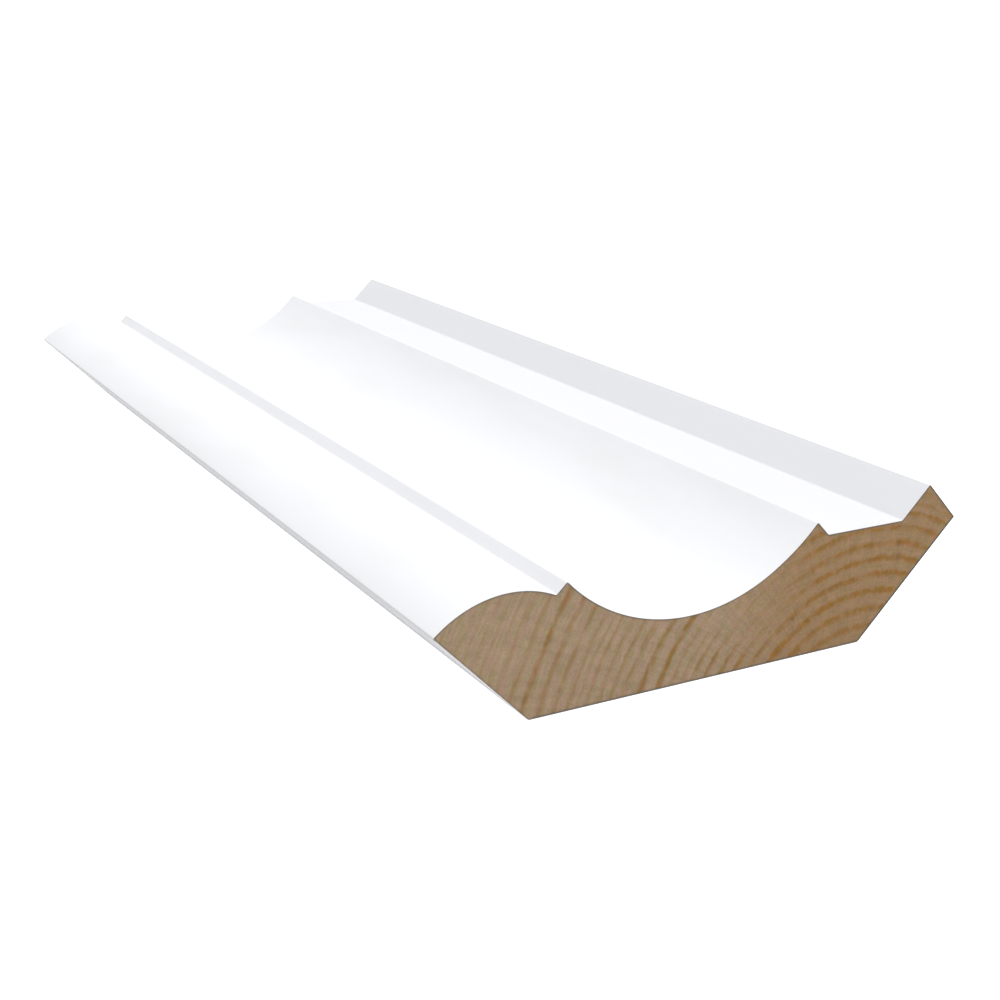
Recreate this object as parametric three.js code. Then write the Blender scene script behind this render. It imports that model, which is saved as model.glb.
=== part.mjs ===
// A short length of cove crown moulding, planed from one board and cut square at both ends.
// It lies on its flat back, face up. X runs across the face from the wall side to the
// ceiling side, Y runs along the length, and Z is up through the thickness.
// The origin is under the middle of the piece, on the back.
import * as THREE from 'three';

// Overall size, in millimetres
const length = 200;
const faceWidth = 92;

// The two bevels that lean on the wall and the ceiling. The moulding springs at 45 degrees,
// so each bevel is as high as it is wide
const wallBevel = 14.8;
const ceilingBevel = 17.9;

// Ceiling side of the face. The lip, the step and the fillet slant at 45 degrees too
const lip = 6.1;
const step = 5.1;
const bandWidth = 14.8;
const bandFillet = 2.5;

// The cove, and the fillet and ovolo on the wall side of it
const coveWidth = 43.3;
const coveFall = 2.1;
const coveRadius = 28.9;
const ovoloFillet = 1.65;
const ovoloRadius = 16.7;

// Straight pieces in half of each round stretch
const roundPieces = 16;

// The middle of the arc of this radius that joins two points. The middle lies to the left
// of the way from one to the other
function arcMiddle(from, to, radius) {
  const chord = to.clone().sub(from);
  const half = chord.length() / 2;
  const left = new THREE.Vector2(-chord.y, chord.x).normalize();
  const reach = Math.sqrt(radius * radius - half * half);
  return from.clone().add(to).multiplyScalar(0.5).addScaledVector(left, reach);
}

// Adds the arc to the outline. A hollow arc turns clockwise about its middle
function addArc(outline, from, to, middle, hollow) {
  const radius = middle.distanceTo(from);
  const start = from.clone().sub(middle).angle();
  const end = to.clone().sub(middle).angle();
  outline.absarc(middle.x, middle.y, radius, start, end, hollow);
}

// The section across the moulding, with x across the face and y up through the thickness.
// It starts at the wall side of the back and goes round anticlockwise
function mouldingSection() {
  const backStart = new THREE.Vector2(wallBevel, 0);
  const backEnd = new THREE.Vector2(faceWidth - ceilingBevel, 0);
  const ceilingArris = new THREE.Vector2(faceWidth, ceilingBevel);
  const lipArris = new THREE.Vector2(ceilingArris.x - lip, ceilingArris.y + lip);
  const bandEnd = new THREE.Vector2(lipArris.x - step, lipArris.y - step);
  const bandStart = new THREE.Vector2(bandEnd.x - bandWidth, bandEnd.y);
  const coveTop = new THREE.Vector2(bandStart.x - bandFillet, bandStart.y + bandFillet);
  const coveEnd = new THREE.Vector2(coveTop.x - coveWidth, coveTop.y - coveFall);
  const ovoloTop = new THREE.Vector2(coveEnd.x - ovoloFillet, coveEnd.y - ovoloFillet);
  const wallArris = new THREE.Vector2(0, wallBevel);

  const outline = new THREE.Shape();
  for (const corner of [backStart, backEnd, ceilingArris, lipArris, bandEnd, bandStart, coveTop]) {
    if (corner === backStart) outline.moveTo(corner.x, corner.y);
    else outline.lineTo(corner.x, corner.y);
  }
  addArc(outline, coveTop, coveEnd, arcMiddle(coveEnd, coveTop, coveRadius), true);
  outline.lineTo(ovoloTop.x, ovoloTop.y);
  addArc(outline, ovoloTop, wallArris, arcMiddle(ovoloTop, wallArris, ovoloRadius), false);
  outline.closePath();
  return outline;
}

// White primer on the planed faces, bare pine where the ends were sawn
const primer = new THREE.MeshStandardMaterial({ color: 0xf4f4f6, roughness: 0.55, metalness: 0 });
const pine = new THREE.MeshStandardMaterial({ color: 0x9a8060, roughness: 0.8, metalness: 0 });

function crownMoulding() {
  const geometry = new THREE.ExtrudeGeometry(mouldingSection(), {
    depth: length,
    steps: 1,
    curveSegments: roundPieces,
    bevelEnabled: false,
  });
  const mesh = new THREE.Mesh(geometry, [pine, primer]);
  mesh.name = 'crown_moulding';
  mesh.rotation.x = Math.PI / 2;
  mesh.position.set(-faceWidth / 2, length / 2, 0);
  return mesh;
}

const moulding = new THREE.Group();
moulding.add(crownMoulding());

export default moulding;
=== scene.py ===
import math

import bpy
import numpy as np
from mathutils import Matrix, Vector, noise


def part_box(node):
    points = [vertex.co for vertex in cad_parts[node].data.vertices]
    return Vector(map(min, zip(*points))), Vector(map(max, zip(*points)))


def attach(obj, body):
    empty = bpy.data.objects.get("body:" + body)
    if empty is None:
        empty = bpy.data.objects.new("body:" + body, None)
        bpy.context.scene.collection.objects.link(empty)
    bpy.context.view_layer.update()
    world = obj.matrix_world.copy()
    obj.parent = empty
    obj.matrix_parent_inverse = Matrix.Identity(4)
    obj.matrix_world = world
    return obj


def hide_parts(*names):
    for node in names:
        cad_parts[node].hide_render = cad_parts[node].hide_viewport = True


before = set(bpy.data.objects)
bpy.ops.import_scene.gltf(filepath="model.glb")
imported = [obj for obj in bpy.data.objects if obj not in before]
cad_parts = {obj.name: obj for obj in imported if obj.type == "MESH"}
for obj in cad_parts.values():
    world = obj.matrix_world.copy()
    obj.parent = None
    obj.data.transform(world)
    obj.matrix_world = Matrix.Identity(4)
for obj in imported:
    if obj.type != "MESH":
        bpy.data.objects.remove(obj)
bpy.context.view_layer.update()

mm = 0.001
mostNoise = (0.3, 0.7)      # nearly all of a noise lies between these


# Small helpers for node trees

def feed(tree, socket, value):
    # a socket takes the output of another node or a plain value
    if isinstance(value, bpy.types.NodeSocket):
        tree.links.new(value, socket)
    else:
        socket.default_value = value


def addNode(tree, kind, inputs=None, **settings):
    node = tree.nodes.new(kind)
    for name, value in settings.items():
        setattr(node, name, value)
    for name, value in (inputs or {}).items():
        feed(tree, node.inputs[name], value)
    return node


def maths(tree, operation, *values):
    node = addNode(tree, 'ShaderNodeMath', operation=operation)
    for socket, value in zip(node.inputs, values):
        feed(tree, socket, value)
    return node.outputs['Value']


def vectorMaths(tree, operation, *values):
    node = addNode(tree, 'ShaderNodeVectorMath', operation=operation)
    for socket, value in zip(node.inputs, values):
        feed(tree, socket, value)
    return node.outputs['Vector']


def ease(tree, value, low, high, start=0.0, end=1.0):
    # a smooth step from start to end as value goes from low to high
    node = addNode(tree, 'ShaderNodeMapRange', interpolation_type='SMOOTHSTEP', inputs={
        'Value': value, 'From Min': low, 'From Max': high, 'To Min': start, 'To Max': end})
    return node.outputs['Result']


def stretched(tree, place, spread):
    # noise at this place is drawn out where the spread is small
    return vectorMaths(tree, 'MULTIPLY', place, spread)


def noiseAt(tree, place, scale, detail=2.0, roughness=0.5):
    node = addNode(tree, 'ShaderNodeTexNoise', inputs={
        'Vector': place, 'Scale': scale, 'Detail': detail, 'Roughness': roughness})
    return node.outputs['Fac']


def mixColours(tree, share, first, second, blend='MIX'):
    node = addNode(tree, 'ShaderNodeMix', data_type='RGBA', blend_type=blend)
    feed(tree, node.inputs[0], share)
    feed(tree, node.inputs[6], first)
    feed(tree, node.inputs[7], second)
    return node.outputs[2]


def newGroup(name, inputs, outputs):
    tree = bpy.data.node_groups.new(name, 'ShaderNodeTree')
    for label, kind in inputs:
        tree.interface.new_socket(name=label, in_out='INPUT', socket_type=kind)
    for label, kind in outputs:
        tree.interface.new_socket(name=label, in_out='OUTPUT', socket_type=kind)
    entry = tree.nodes.new('NodeGroupInput')
    leave = tree.nodes.new('NodeGroupOutput')
    return tree, entry.outputs, leave.inputs


def useGroup(tree, group, inputs):
    node = addNode(tree, 'ShaderNodeGroup', node_tree=group, inputs=inputs)
    return node.outputs


def newMaterial(name):
    material = bpy.data.materials.new(name)
    material.use_nodes = True
    tree = material.node_tree
    shader = tree.nodes['Principled BSDF']
    coordinates = addNode(tree, 'ShaderNodeTexCoord')
    place = vectorMaths(tree, 'MULTIPLY', coordinates.outputs['Object'], (1000, 1000, 1000))
    return material, tree, shader, place


def colour(red, green, blue):
    # from screen values of 0 to 255
    values = [channel / 255 for channel in (red, green, blue)]
    return [v / 12.92 if v <= 0.04045 else ((v + 0.055) / 1.055) ** 2.4 for v in values] + [1.0]


# The moulding: its section, as the solid has it, in millimetres

moulding = {
    'wallBevel': 14.8,
    'ceilingBevel': 17.9,
    'lip': 6.1,
    'step': 5.1,
    'bandWidth': 14.8,
    'bandFillet': 2.5,
    'coveWidth': 43.3,
    'coveFall': 2.1,
    'coveRadius': 28.9,
    'ovoloFillet': 1.65,
    'ovoloRadius': 16.7,
    'arrisEase': 0.32,      # how far back the primer rounds an outer corner
    'quirkEase': 0.22,      # how far it fills an inner one
    'cornerPoints': 7,      # points round each corner
    'outlineGap': 0.1,      # between the points of the outline everywhere else
    'blunted': {            # corners worn flat, and how far back on either side
        'wallArris': (0.32, 0.16),
    },
    'coveFlare': 0.33,      # how far the top of the cove falls back along the fillet
    'flareReach': 9.0,      # how far down the cove that can be felt
    'flareBend': 1.4,       # and how soon it dies away
    'columnGap': 0.45,      # between the columns of points across the face
    'leastGap': 0.012,      # and how close two of them may come at a corner
    'ringGap': 2.5,         # between the rings of points along the length
    'filmDepth': 0.08,      # the primer seen edge on at a sawn end
    'rimRows': (0.17, 0.3, 0.55),   # depths of the first rows of points behind it
    'rimRowsShare': 0.4,    # the most of a column that these rows may take
    'endRows': 22,          # rows of points between them
    'rimShadeDepth': 0.42,       # how far in from the primer the painted shade darkens the sawn wood
    'rimShadeStart': 0.056,      # where that painted shade is at its full
    'rimShadeShares': {'wallBevel': 0.6, 'back': 1.0, 'ceilingBevel': 1.5, 'rounds': 0.75, 'lip': 0.9},
    'bevelDepth': 0.7,      # how far in from the wall bevel its own share holds
    'paintedShadeReach': 9.0,       # how far down the wall bevel the painted shade reaches from the arris
    'paintedShadeStrip': 0.192,     # x up to which the blunted wall arris is painted in full shade
}


def lineSide(start, end):
    length = np.hypot(*(end - start))
    return length, lambda s: start + (end - start) * s / length


def arcSide(start, end, radius, hollow):
    chord = end - start
    half = np.hypot(*chord) / 2
    turn = -1 if hollow else 1      # a hollow arc turns clockwise
    left = np.array([-chord[1], chord[0]]) / (2 * half)
    middle = (start + end) / 2 + turn * left * math.sqrt(radius ** 2 - half ** 2)
    angle = math.atan2(*(start - middle)[::-1])

    def at(s):
        a = angle + turn * s / radius
        return middle + radius * np.array([math.cos(a), math.sin(a)])
    return 2 * radius * math.asin(half / radius), at


def sectionSides(faceWidth):
    m = moulding
    corner = {'backStart': np.array([m['wallBevel'], 0.0])}
    corner['backEnd'] = np.array([faceWidth - m['ceilingBevel'], 0.0])
    corner['ceilingArris'] = np.array([faceWidth, m['ceilingBevel']])
    corner['lipArris'] = corner['ceilingArris'] + (-m['lip'], m['lip'])
    corner['bandEnd'] = corner['lipArris'] - m['step']
    corner['bandStart'] = corner['bandEnd'] - (m['bandWidth'], 0)
    corner['coveTop'] = corner['bandStart'] + (-m['bandFillet'], m['bandFillet'])
    corner['coveEnd'] = corner['coveTop'] - (m['coveWidth'], m['coveFall'])
    corner['ovoloTop'] = corner['coveEnd'] - m['ovoloFillet']
    corner['wallArris'] = np.array([0.0, m['wallBevel']])

    # the planed cove leaves the solid's arc towards its top
    fallBack = np.array([1, -1]) * m['coveFlare'] / math.sqrt(2)
    coveLength, cove = arcSide(corner['coveTop'], corner['coveEnd'], m['coveRadius'], True)
    corner['coveTop'] = corner['coveTop'] + fallBack

    def flaredCove(s):
        return cove(s) + fallBack * max(0, 1 - s / m['flareReach']) ** m['flareBend']

    names = list(corner)
    sides = []
    for start, end in zip(names, names[1:] + names[:1]):
        if start == 'coveTop':
            sides.append((coveLength, flaredCove))
        elif start == 'ovoloTop':
            sides.append(arcSide(corner[start], corner[end], m['ovoloRadius'], False))
        else:
            sides.append(lineSide(corner[start], corner[end]))
    return corner, names, sides


def easedOutline(faceWidth):
    # the outline anticlockwise, with every corner rounded, and the points of the corners
    corner, names, sides = sectionSides(faceWidth)
    inner = ('bandEnd', 'bandStart', 'ovoloTop')
    before = {name: moulding['quirkEase' if name in inner else 'arrisEase'] for name in names}
    after = dict(before)
    for name, (near, far) in moulding['blunted'].items():
        before[name], after[name] = near, far
    outline, kept = [], []
    for i, (length, at) in enumerate(sides):
        name = names[(i + 1) % len(names)]
        start, end = after[names[i]], length - before[name]
        count = max(2, round(length / moulding['outlineGap']))
        side = [at(s) for s in np.linspace(start, end, count)]
        outline += side
        last, first = side[-1], sides[(i + 1) % len(sides)][1](after[name])
        bend = (last + first) / 2 if name in moulding['blunted'] else corner[name]
        turns = [(1 - t) ** 2 * last + 2 * t * (1 - t) * bend + t ** 2 * first
                 for t in np.linspace(0, 1, moulding['cornerPoints'])]
        outline += turns[1:-1]
        kept += turns
    return np.array(outline), np.array(kept)


def sectionColumns(faceWidth):
    # x of each column of points, with the height of the back and of the face there
    outline, kept = easedOutline(faceWidth)
    first, last = outline[:, 0].argmin(), outline[:, 0].argmax()
    around = np.roll(outline, -first, axis=0)
    turn = (last - first) % len(outline)
    back, face = around[:turn + 1], np.vstack([around[turn:], around[:1]])[::-1]
    xs = sorted(set(np.round(kept[:, 0], 3)) | {outline[first, 0], outline[last, 0]})
    marks = [xs[0]]
    for x in xs[1:]:
        if x - marks[-1] > moulding['leastGap']:
            marks.append(x)
    marks[-1] = outline[last, 0]
    columns = []
    for start, end in zip(marks, marks[1:]):
        count = max(1, round((end - start) / moulding['columnGap']))
        columns += list(np.linspace(start, end, count, endpoint=False))
    columns = np.array(columns + [marks[-1]])
    return columns, np.interp(columns, *back.T), np.interp(columns, *face.T), outline


def rowHeights(low, high):
    # heights of the rows up one column of an end: close together at the rim, even between
    depth = high - low
    near = np.array([0, moulding['filmDepth'], *moulding['rimRows']])
    share = np.linspace(0, moulding['rimRowsShare'], len(near))
    near = np.minimum(near, share * depth)
    between = np.linspace(near[-1], depth - near[-1], moulding['endRows'] + 2)[1:-1]
    return low + np.concatenate([near, between, depth - near[::-1]])


def rimDistance(points, outline):
    # distance from each point to the outline
    start, end = outline, np.roll(outline, -1, axis=0)
    along = end - start
    best = np.full(len(points), np.inf)
    for a, d in zip(start, along):
        t = np.clip(((points - a) @ d) / max(d @ d, 1e-12), 0, 1)
        best = np.minimum(best, np.hypot(*(points - a - t[:, None] * d).T))
    return best


def rimShadeShare(x, z, middle, corner):
    # how strongly the painted shade darkens the rim at this place
    shares = moulding['rimShadeShares']
    if x + z < moulding['wallBevel'] + moulding['bevelDepth']:
        return shares['wallBevel']
    if z < middle:
        return shares['back' if x < corner['backEnd'][0] else 'ceilingBevel']
    return shares['rounds' if x < corner['coveTop'][0] else 'lip']


sawing = {
    'bladeRadius': 127.0,
    'bladeMiddle': (-30.0, -112.0),
    'ridgePitch': 1.7,
    'ridgeDepth': 0.022,
    'patchLength': 9.0,         # the ridges come and go over this length
    'waveLength': 14.0,
    'waveDepth': 0.05,
    'fade': 0.5,                # the relief dies away this close to the rim
    'seedStep': 20.0,           # sets the two ends apart
    'waveSeed': 5,
}


def sawRelief(x, z, seed):
    # how far in from the end plane the saw has cut, in millimetres
    s = sawing
    reach = math.hypot(x - s['bladeMiddle'][0], z - s['bladeMiddle'][1]) - s['bladeRadius']
    patch = 0.5 + 0.5 * noise.noise(Vector((x / s['patchLength'], z / s['patchLength'], seed)))
    ridge = 0.5 + 0.5 * math.sin(2 * math.pi * reach / s['ridgePitch'])
    wave = 0.5 + 0.5 * noise.noise(
        Vector((x / s['waveLength'], z / s['waveLength'], seed + s['waveSeed'])))
    return s['ridgeDepth'] * ridge * patch + s['waveDepth'] * wave


def buildMoulding():
    low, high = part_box('crown_moulding')
    faceWidth, length = (high.x - low.x) / mm, (high.y - low.y) / mm
    xs, backs, faces, outline = sectionColumns(faceWidth)
    count = len(xs)
    corner = sectionSides(faceWidth)[0]
    points, quads, slots, rimShades = [], [], [], []

    # the planed faces: rings of points from the wall side along the back and home over the face
    loop = [(xs[k], backs[k]) for k in range(count)]
    loop += [(xs[k], faces[k]) for k in range(count - 2, 0, -1)]
    rings = round(length / moulding['ringGap'])
    for j in range(rings + 1):
        y = length * (j / rings - 0.5)
        points += [(x, y, z) for x, z in loop]
    around = len(loop)
    for j in range(rings):
        for k in range(around):
            a, b = j * around + k, j * around + (k + 1) % around
            quads.append((a, a + around, b + around, b))
            slots.append(0)
    rimShades += [0.0] * len(points)
    rounds, arrisShading = [], []
    for k, (x, z) in enumerate(loop):
        onOvolo = x < corner['ovoloTop'][0]
        inCove = corner['coveEnd'][0] < x < corner['coveTop'][0]
        onFillet = corner['ovoloTop'][0] <= x <= corner['coveEnd'][0]
        onFace = k >= count
        # painted light: 1 on the ovolo and the cove, half on their fillets, 0 on the flats and the back
        rounds.append((1.0 if onOvolo or inCove else 0.5 if onFillet else 0.0) if onFace else 0.0)
        # painted shade: full on the blunted wall arris, fading down the wall bevel away from it
        down = math.hypot(x, z - moulding['wallBevel']) / moulding['paintedShadeReach']
        arrisShading.append(float(x < moulding['paintedShadeStrip']) if onFace else max(0.0, 1 - down))
    rounds *= rings + 1
    arrisShading *= rings + 1

    # the two sawn ends: columns of points that share the rim with the planed faces
    for seed, (ring, side) in enumerate(((0, -1), (rings, 1))):
        y = side * length / 2
        columns, fresh = [], []
        for k in range(count):
            if k in (0, count - 1):
                columns.append([ring * around + k])
                continue
            heights = rowHeights(backs[k], faces[k])
            column = [ring * around + k]
            for z in heights[1:-1]:
                column.append(len(points) + len(fresh))
                fresh.append((xs[k], z))
            column.append(ring * around + (2 * count - 2 - k))
            columns.append(column)
        inland = rimDistance(np.array(fresh), outline)
        for (x, z), d in zip(fresh, inland):
            cut = sawRelief(x, z, seed * sawing['seedStep']) * min(1.0, d / sawing['fade'])
            points.append((x, y - side * cut, z))
            # painted shade, strongest at the rim and fading inwards
            rimFade = max(0.0, 1 - max(0.0, d - moulding['rimShadeStart']) / moulding['rimShadeDepth'])
            middle = 0.5 * (np.interp(x, xs, backs) + np.interp(x, xs, faces))
            rimShades.append(min(1.0, rimFade * rimShadeShare(x, z, middle, corner)))
            rounds.append(0.0)
            arrisShading.append(0.0)
        for k in range(count - 1):
            one, two = columns[k], columns[k + 1]
            rows = max(len(one), len(two)) - 1
            for r in range(rows):
                a = one[min(r, len(one) - 1)]
                b = one[min(r + 1, len(one) - 1)]
                c = two[min(r + 1, len(two) - 1)]
                d = two[min(r, len(two) - 1)]
                corners = list(dict.fromkeys((a, d, c, b)))
                quads.append(corners if side < 0 else corners[::-1])
                slots.append(0 if r in (0, rows - 1) else 1)

    mesh = bpy.data.meshes.new('crownMoulding')
    points = np.array(points) * mm
    points[:, 0] += low.x
    points[:, 2] += low.z
    mesh.from_pydata(points.tolist(), [], quads)
    for name, values in (('rimPaintedShade', rimShades), ('roundsPaintedLight', rounds), ('wallArrisPaintedShade', arrisShading)):
        mask = mesh.attributes.new(name, 'FLOAT', 'POINT')
        mask.data.foreach_set('value', np.array(values, np.float32))
    mesh.polygons.foreach_set('material_index', slots)
    mesh.polygons.foreach_set('use_smooth', [True] * len(quads))
    mesh.update()
    piece = bpy.data.objects.new('crownMoulding', mesh)
    bpy.context.scene.collection.objects.link(piece)

    # the edge between a planed face and a sawn end stays sharp
    sharp = np.zeros(len(mesh.edges), bool)
    ends = np.empty(len(mesh.edges) * 2, np.int32)
    mesh.edges.foreach_get('vertices', ends)
    ends = ends.reshape(-1, 2)
    for ring in (0, rings):
        onRim = (ends >= ring * around) & (ends < (ring + 1) * around)
        sharp |= onRim.all(axis=1)
    mesh.attributes.new('sharp_edge', 'BOOLEAN', 'EDGE').data.foreach_set('value', sharp)
    weighted = piece.modifiers.new('evenNormals', 'WEIGHTED_NORMAL')
    weighted.keep_sharp = True
    print('moulding:', len(points), 'points,', len(quads), 'faces')
    return piece


# The tree's growth rings, which both the bare ends and the primer over them follow

growth = {
    'pith': (28.4, -14.9),          # x and z of the middle of the tree, in millimetres
    'drift': (0.012, 0.006),        # how far the pith wanders for each millimetre of length
    'firstRing': 12.3,
    'ringWidths': [2.6, 2.8, 2.8, 2.8, 2.8, 2.4, 2.4, 2.5, 2.2, 1.6, 1.9, 2.1, 2.8, 2.7, 2.0, 1.9, 2.0,
                   1.4, 1.5, 2.2, 2.6, 2.6, 2.4, 2.5, 1.6, 1.6, 1.6, 1.7, 1.6, 1.4],
    'ringStrengths': [0.5, 0.5, 0.85, 0.9, 1.2, 0.95, 0.95, 0.95, 0.85, 0.85, 0.45, 0.5, 1.3, 0.85,
                      0.7, 0.5, 0.6, 0.55, 0.35, 0.45, 0.6, 0.7, 0.95, 0.5, 0.4, 0.35, 0.25, 0.3,
                      0.25, 0.3, 0.25],
    'darkens': 0.46,                # shares of a ring's width, before its line and after it
    'clears': 0.32,
    'crest': 0.04,                  # the line is darkest this little before its ring ends
    'sharpness': 1.5,
    'wander': 0.3,                  # how far the rings stray from round, in millimetres
    'wanderScale': 0.14,
    'tremble': 0.19,                # and how far they tremble on the way
    'trembleScale': 1.1,
    'trembleFrom': (-5.0, 20.0),    # x between which the trembling grows
    'trembleShares': (0.4, 1.15),   # its share on the wall side and on the ceiling side
    'alongGrain': (1, 0.04, 1),     # both are drawn out along the length
    'calm': (7.0, 0.0, 12.0),       # middle of a patch where the rings hardly show
    'calmRadii': (6.0, 12.0),       # where it starts and stops fading
    'calmShare': 0.25,
}


def growthRings():
    group, given, out = newGroup(
        'growthRings',
        [('Place', 'NodeSocketVector')],
        [('Latewood', 'NodeSocketFloat'), ('Around', 'NodeSocketVector')])
    place = given['Place']

    # slow waves and a fine trembling push the rings about
    grain = stretched(group, place, growth['alongGrain'])
    slow = addNode(group, 'ShaderNodeTexNoise', inputs={
        'Vector': grain, 'Scale': growth['wanderScale'], 'Detail': 3.0, 'Roughness': 0.45})
    fine = addNode(group, 'ShaderNodeTexNoise', inputs={
        'Vector': grain, 'Scale': growth['trembleScale'], 'Detail': 2.0})
    still = addNode(group, 'ShaderNodeSeparateXYZ', inputs={'Vector': place})
    restless = ease(group, still.outputs['X'], *growth['trembleFrom'], *growth['trembleShares'])
    usual = 4       # a noise strays about a quarter either way
    tremble = maths(group, 'MULTIPLY', restless, usual * growth['tremble'])
    shoves = []
    for waves, reach in ((slow, usual * growth['wander']), (fine, tremble)):
        shove = vectorMaths(group, 'SUBTRACT', waves.outputs['Color'], (0.5, 0.5, 0.5))
        shoves.append(addNode(group, 'ShaderNodeVectorMath', operation='SCALE', inputs={
            'Vector': shove, 'Scale': reach}).outputs['Vector'])
    shove = vectorMaths(group, 'ADD', *shoves)
    moved = addNode(group, 'ShaderNodeSeparateXYZ', inputs={
        'Vector': vectorMaths(group, 'ADD', place, shove)})
    along = maths(group, 'ADD', still.outputs['Y'], 100.0)
    x = maths(group, 'SUBTRACT', moved.outputs['X'],
              maths(group, 'MULTIPLY_ADD', along, growth['drift'][0], growth['pith'][0]))
    z = maths(group, 'SUBTRACT', moved.outputs['Z'],
              maths(group, 'MULTIPLY_ADD', along, growth['drift'][1], growth['pith'][1]))
    radius = maths(group, 'SQRT', maths(group, 'MULTIPLY_ADD', x, x, maths(group, 'MULTIPLY', z, z)))
    angle = maths(group, 'ARCTAN2', z, x)

    # the curve turns a radius into a count of rings
    edges = growth['firstRing'] + np.cumsum([0] + growth['ringWidths'])
    total = len(edges)
    count = addNode(group, 'ShaderNodeFloatCurve', inputs={
        'Value': maths(group, 'DIVIDE', radius, float(edges[-1]))})
    line = count.mapping.curves[0]
    line.points[0].location = (0, 0)
    line.points[1].location = (1, 1)
    for i in range(total - 1):
        line.points.new(edges[i] / edges[-1], (i + 1) / total)
    for point in line.points:
        point.handle_type = 'VECTOR'
    count.mapping.update()
    rings = maths(group, 'MULTIPLY', count.outputs['Value'], float(total))

    # each dark line straddles the count of its ring
    nearest = maths(group, 'ROUND', rings)
    strength = addNode(group, 'ShaderNodeValToRGB', inputs={
        'Fac': maths(group, 'DIVIDE', maths(group, 'SUBTRACT', nearest, 0.5), float(total))})
    ramp = strength.color_ramp
    ramp.interpolation = 'CONSTANT'
    for i, value in enumerate(growth['ringStrengths']):
        stop = ramp.elements[i] if i < 2 else ramp.elements.new(i / total)
        stop.position = i / total
        stop.color = (value, value, value, 1)
    off = maths(group, 'SUBTRACT', rings, nearest)
    darken = ease(group, off, -growth['darkens'], -growth['crest'])
    lighten = ease(group, off, 0.0, growth['clears'], 1.0, 0.0)
    band = maths(group, 'POWER', maths(group, 'MULTIPLY', darken, lighten), growth['sharpness'])
    across = addNode(group, 'ShaderNodeVectorMath', operation='DISTANCE', inputs={
        0: stretched(group, place, (1, 0, 1)), 1: growth['calm']})
    calm = ease(group, across.outputs['Value'], *growth['calmRadii'], growth['calmShare'], 1.0)
    band = maths(group, 'MULTIPLY', band, calm)
    feed(group, out['Latewood'], maths(group, 'MULTIPLY', band, strength.outputs['Color']))
    feed(group, out['Around'], addNode(group, 'ShaderNodeCombineXYZ', inputs={
        'X': angle, 'Y': radius, 'Z': maths(group, 'MULTIPLY', still.outputs['Y'], 0.01)}).outputs[0])
    print('growth rings:', total, 'out to', round(float(edges[-1]), 1), 'mm')
    return group


pine = {
    'earlyCool': colour(155, 133, 107),
    'earlyWarm': colour(147, 119, 86),
    'lateCool': colour(132, 103, 54),
    'lateWarm': colour(134, 97, 38),
    'warmFrom': (-2.0, 16.0),        # x where the wood turns from cool to warm
    'warmSway': 8.0,                 # and how far that line strays
    'rimShade': colour(80, 79, 76),
    'rimShadeShare': 0.95,
    'cloudScale': 0.35,
    'cellScale': 3.0,
    # how fine each is around the tree, outwards and along
    'hueSpread': (22, 0.5, 1),
    'blotchSpread': (14, 0.4, 1),
    'raySpread': (60, 0.18, 1),
    'lineSpread': (16, 2.2, 1),
    'blushSpread': (24, 0.9, 1),
    # the least and the most that each multiplies by
    'hueRed': (0.98, 1.12),
    'hueBlue': (0.8, 1.2),
    'lateBlotches': (0.45, 1.15),
    'lateCells': (0.65, 1.2),
    'cloudTone': (0.96, 1.04),
    # and what each adds or takes away
    'rayTone': (-0.055, 0.055),
    'cellTone': (-0.1, 0.1),
    'lineTone': (-0.06, 0.06),
    'blushRed': (-0.06, 0.06),
    'blushBlue': (-0.11, 0.11),
    'fleck': colour(100, 68, 34),
    'fleckShare': 0.5,
    'flecks': [(-26.3, 3.5, 0.8), (34.6, 13.0, 1.3), (34.6, 15.2, 1.0), (30.4, 5.0, 0.9),
               (21.5, 10.0, 0.9), (14.5, 6.4, 0.7)],    # x, z and radius of each, in millimetres
    'roughness': (0.72, 0.86),
    'specular': 0.25,
    'reliefDepth': 0.00003,          # in metres
    'cellRelief': 0.7,
    'ringRelief': 0.6,
}


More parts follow.
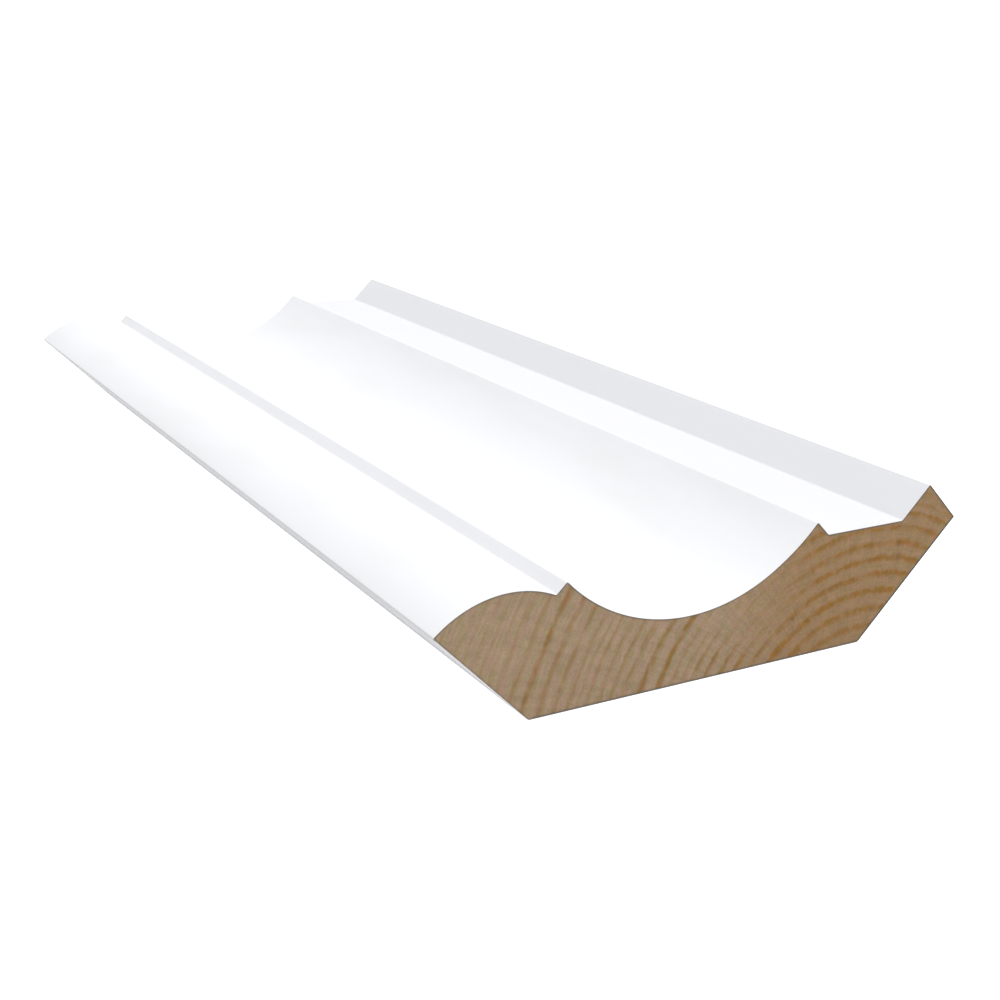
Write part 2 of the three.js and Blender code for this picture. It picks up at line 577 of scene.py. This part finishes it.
def barePine(rings):
    material, tree, shader, place = newMaterial('barePine')
    wood = useGroup(tree, rings, {'Place': place})
    around, late = wood['Around'], wood['Latewood']
    spot = addNode(tree, 'ShaderNodeSeparateXYZ', inputs={'Vector': place})

    # warmer on one side of the board, greyer on the other
    cloud = noiseAt(tree, place, pine['cloudScale'], 3.0, 0.5)
    sway = maths(tree, 'MULTIPLY_ADD', cloud, pine['warmSway'], spot.outputs['X'])
    warm = ease(tree, sway, *(x + pine['warmSway'] / 2 for x in pine['warmFrom']))
    early = mixColours(tree, warm, pine['earlyCool'], pine['earlyWarm'])

    # the dark lines break up along their length and go from olive to orange
    hue = noiseAt(tree, stretched(tree, around, pine['hueSpread']), 1.0, 2.0)
    dark = mixColours(tree, warm, pine['lateCool'], pine['lateWarm'])
    dark = mixColours(tree, 1.0, dark, addNode(tree, 'ShaderNodeCombineColor', inputs={
        'Red': ease(tree, hue, 0.35, 0.65, *pine['hueRed']), 'Green': 1.0,
        'Blue': ease(tree, hue, 0.35, 0.65, *pine['hueBlue'])}).outputs[0], 'MULTIPLY')
    blotch = noiseAt(tree, stretched(tree, around, pine['blotchSpread']), 1.0, 3.0, 0.6)
    cells = noiseAt(tree, place, pine['cellScale'], 3.0, 0.6)
    late = maths(tree, 'MULTIPLY', late, ease(tree, blotch, 0.35, 0.62, *pine['lateBlotches']))
    late = maths(tree, 'MULTIPLY', late, ease(tree, cells, *mostNoise, *pine['lateCells']))
    shade = mixColours(tree, late, early, dark)

    # rays run out from the pith, and the cut cells give a fine mottle
    rays = noiseAt(tree, stretched(tree, around, pine['raySpread']), 1.0, 2.0)
    lines = noiseAt(tree, stretched(tree, around, pine['lineSpread']), 1.0, 2.0)
    tone = maths(tree, 'ADD', ease(tree, rays, *mostNoise, *pine['rayTone']),
                 ease(tree, cells, *mostNoise, *pine['cellTone']))
    tone = maths(tree, 'ADD', tone, ease(tree, lines, *mostNoise, *pine['lineTone']))
    tone = maths(tree, 'ADD', tone, ease(tree, cloud, *mostNoise, *pine['cloudTone']))
    blush = noiseAt(tree, stretched(tree, around, pine['blushSpread']), 1.0, 3.0)
    shade = mixColours(tree, 1.0, shade, addNode(tree, 'ShaderNodeCombineColor', inputs={
        'Red': maths(tree, 'ADD', tone, ease(tree, blush, *mostNoise, *pine['blushRed'])),
        'Green': tone,
        'Blue': maths(tree, 'ADD', tone, ease(tree, blush, *mostNoise, *pine['blushBlue']))}).outputs[0],
        'MULTIPLY')

    # flecks of pitch, which run through the whole board
    for x, z, size in pine['flecks']:
        off = addNode(tree, 'ShaderNodeVectorMath', operation='DISTANCE', inputs={
            0: stretched(tree, place, (1, 0, 1)), 1: (x, 0, z)})
        mark = ease(tree, off.outputs['Value'], 0.0, size, pine['fleckShare'], 0.0)
        mark = maths(tree, 'MULTIPLY', mark, ease(tree, blotch, 0.3, 0.55, 0.55, 1.0))
        shade = mixColours(tree, mark, shade, pine['fleck'])

    # painted shade: the sawn wood is painted grey along the rim next to the primer
    rimShade = addNode(tree, 'ShaderNodeAttribute', attribute_name='rimPaintedShade').outputs['Fac']
    shade = mixColours(tree, ease(tree, rimShade, 0.0, 1.0, 0.0, pine['rimShadeShare']), shade, pine['rimShade'])
    feed(tree, shader.inputs['Base Color'], shade)
    feed(tree, shader.inputs['Roughness'], ease(tree, cells, 0.2, 0.8, *pine['roughness']))
    ridges = maths(tree, 'MULTIPLY', late, pine['ringRelief'])
    height = maths(tree, 'MULTIPLY_ADD', cells, pine['cellRelief'], ridges)
    bump = addNode(tree, 'ShaderNodeBump', inputs={'Height': height, 'Distance': pine['reliefDepth']})
    feed(tree, shader.inputs['Normal'], bump.outputs['Normal'])
    shader.inputs['Specular IOR Level'].default_value = pine['specular']
    return material


primer = {
    'flatsPaintedShade': colour(236, 236, 238),     # painted shade: the narrow flats are painted a little darker than the cove and the ovolo, which are painted lighter
    'rounds': colour(245, 245, 246),    # than on the cove and the ovolo
    'worn': colour(231, 230, 228),
    'arrisShade': colour(214, 214, 212),      # painted shade along the wall arris and down the top of the wall bevel
    'peelScale': 0.9,
    'streakSpread': (2.4, 0.04, 2.4),   # the planer's streaks run along the length
    'cloudSpread': (1, 0.3, 1),
    'cloudScale': 0.12,
    'cloudShare': 0.2,                  # the most that a cloud of wear shows
    'roughness': (0.48, 0.6),
    'specular': 0.35,
    'reliefDepth': 0.000012,            # in metres
    'streakRelief': 0.6,
    'ringRelief': 0.5,                  # the growth rings just show through
}


def whitePrimer(rings):
    material, tree, shader, place = newMaterial('whitePrimer')
    wood = useGroup(tree, rings, {'Place': place})
    peel = noiseAt(tree, place, primer['peelScale'], 2.0)
    streaks = noiseAt(tree, stretched(tree, place, primer['streakSpread']), 1.0, 3.0)
    cloud = noiseAt(tree, stretched(tree, place, primer['cloudSpread']), primer['cloudScale'], 2.0)
    # painted light and shade: the rounds are painted lighter than the flats
    rounded = addNode(tree, 'ShaderNodeAttribute', attribute_name='roundsPaintedLight').outputs['Fac']
    shade = mixColours(tree, rounded, primer['flatsPaintedShade'], primer['rounds'])
    worn = ease(tree, cloud, 0.35, 0.75, 0.0, primer['cloudShare'])
    shade = mixColours(tree, worn, shade, primer['worn'])
    # painted shade: the wall arris and the top of the wall bevel are painted darker
    arrisShading = addNode(tree, 'ShaderNodeAttribute', attribute_name='wallArrisPaintedShade').outputs['Fac']
    shade = mixColours(tree, arrisShading, shade, primer['arrisShade'])
    feed(tree, shader.inputs['Base Color'], shade)
    feed(tree, shader.inputs['Roughness'], ease(tree, streaks, 0.25, 0.75, *primer['roughness']))
    height = maths(tree, 'MULTIPLY_ADD', streaks, primer['streakRelief'], peel)
    height = maths(tree, 'MULTIPLY_ADD', wood['Latewood'], primer['ringRelief'], height)
    bump = addNode(tree, 'ShaderNodeBump', inputs={'Height': height, 'Distance': primer['reliefDepth']})
    feed(tree, shader.inputs['Normal'], bump.outputs['Normal'])
    shader.inputs['Specular IOR Level'].default_value = primer['specular']
    return material


# Camera, at the photograph's angle

camera = {
    'focalPixels': 1495.7,      # in a picture 1000 pixels wide
    'heading': 30.407,          # degrees to the right of straight along the length
    'dip': 17.973,
    'roll': 1.504,
    'place': (-128.05, -255.92, 90.83),
}


def addCamera():
    data = bpy.data.cameras.new('photoCamera')
    data.sensor_width = 36.0
    data.lens = camera['focalPixels'] * data.sensor_width / 1000
    data.clip_start, data.clip_end = 0.01, 50.0
    view = bpy.data.objects.new('photoCamera', data)
    turn = Matrix.Rotation(-math.radians(camera['heading']), 4, 'Z')
    turn @= Matrix.Rotation(math.radians(90 - camera['dip']), 4, 'X')
    turn @= Matrix.Rotation(math.radians(camera['roll']), 4, 'Z')
    view.matrix_world = Matrix.Translation([v * mm for v in camera['place']]) @ turn
    bpy.context.scene.collection.objects.link(view)
    bpy.context.scene.camera = view


studio = {
    'floorSize': 30.0,
    'floorDrop': 0.0001,        # so that floor and back never fight, both in metres
    'floor': colour(224, 224, 225),
    'underlight': 0.2,          # the floor is lit from below as well, which keeps shadows faint
    'burn': 0.7,                # how far it burns out to white for the camera
    'sky': 0.78,
    'skyTint': (0.957, 0.973, 0.994, 1.0),
    'background': 1.05,         # what the camera sees past the floor
    'sunFrom': (0.4, -0.25, 0.88),
    'sunTint': (1.0, 0.985, 0.985),
    'sunPower': 1.6,
    'sunSpread': 60.0,          # in degrees, for soft shadows
}


def addStudio():
    mesh = bpy.data.meshes.new('studioFloor')
    half, drop = studio['floorSize'] / 2, studio['floorDrop']
    corners = ((-half, -half), (half, -half), (half, half), (-half, half))
    mesh.from_pydata([(x, y, -drop) for x, y in corners], [], [(0, 1, 2, 3)])
    floor = bpy.data.objects.new('studioFloor', mesh)
    bpy.context.scene.collection.objects.link(floor)
    paper = bpy.data.materials.new('palePaper')
    paper.use_nodes = True
    tree = paper.node_tree
    shader = tree.nodes['Principled BSDF']
    shader.inputs['Base Color'].default_value = studio['floor']
    shader.inputs['Roughness'].default_value = 0.9
    shader.inputs['Specular IOR Level'].default_value = 0.0
    shader.inputs['Emission Color'].default_value = (1, 1, 1, 1)
    seen = addNode(tree, 'ShaderNodeLightPath')
    glow = maths(tree, 'MULTIPLY_ADD', seen.outputs['Is Camera Ray'],
                 studio['burn'], studio['underlight'])
    feed(tree, shader.inputs['Emission Strength'], glow)
    mesh.materials.append(paper)

    world = bpy.data.worlds.new('studioSky')
    world.use_nodes = True
    tree = world.node_tree
    sky = tree.nodes['Background']
    sky.inputs['Color'].default_value = studio['skyTint']
    sky.inputs['Strength'].default_value = studio['sky']
    plain = addNode(tree, 'ShaderNodeBackground', inputs={
        'Color': (1, 1, 1, 1), 'Strength': studio['background']})
    seen = addNode(tree, 'ShaderNodeLightPath')
    both = tree.nodes.new('ShaderNodeMixShader')
    feed(tree, both.inputs[0], seen.outputs['Is Camera Ray'])
    feed(tree, both.inputs[1], sky.outputs[0])
    feed(tree, both.inputs[2], plain.outputs[0])
    feed(tree, tree.nodes['World Output'].inputs['Surface'], both.outputs[0])
    bpy.context.scene.world = world

    data = bpy.data.lights.new('overheadRight', 'SUN')
    data.energy, data.angle = studio['sunPower'], math.radians(studio['sunSpread'])
    data.color = studio['sunTint']
    light = bpy.data.objects.new('overheadRight', data)
    light.rotation_euler = Vector(studio['sunFrom']).to_track_quat('Z', 'Y').to_euler()
    bpy.context.scene.collection.objects.link(light)
    bpy.context.scene.view_settings.view_transform = 'Standard'


piece = buildMoulding()
rings = growthRings()
piece.data.materials.append(whitePrimer(rings))
piece.data.materials.append(barePine(rings))
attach(piece, 'root')
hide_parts('crown_moulding')
print('materials: primer and bare pine')
addCamera()
addStudio()
print('camera and studio')
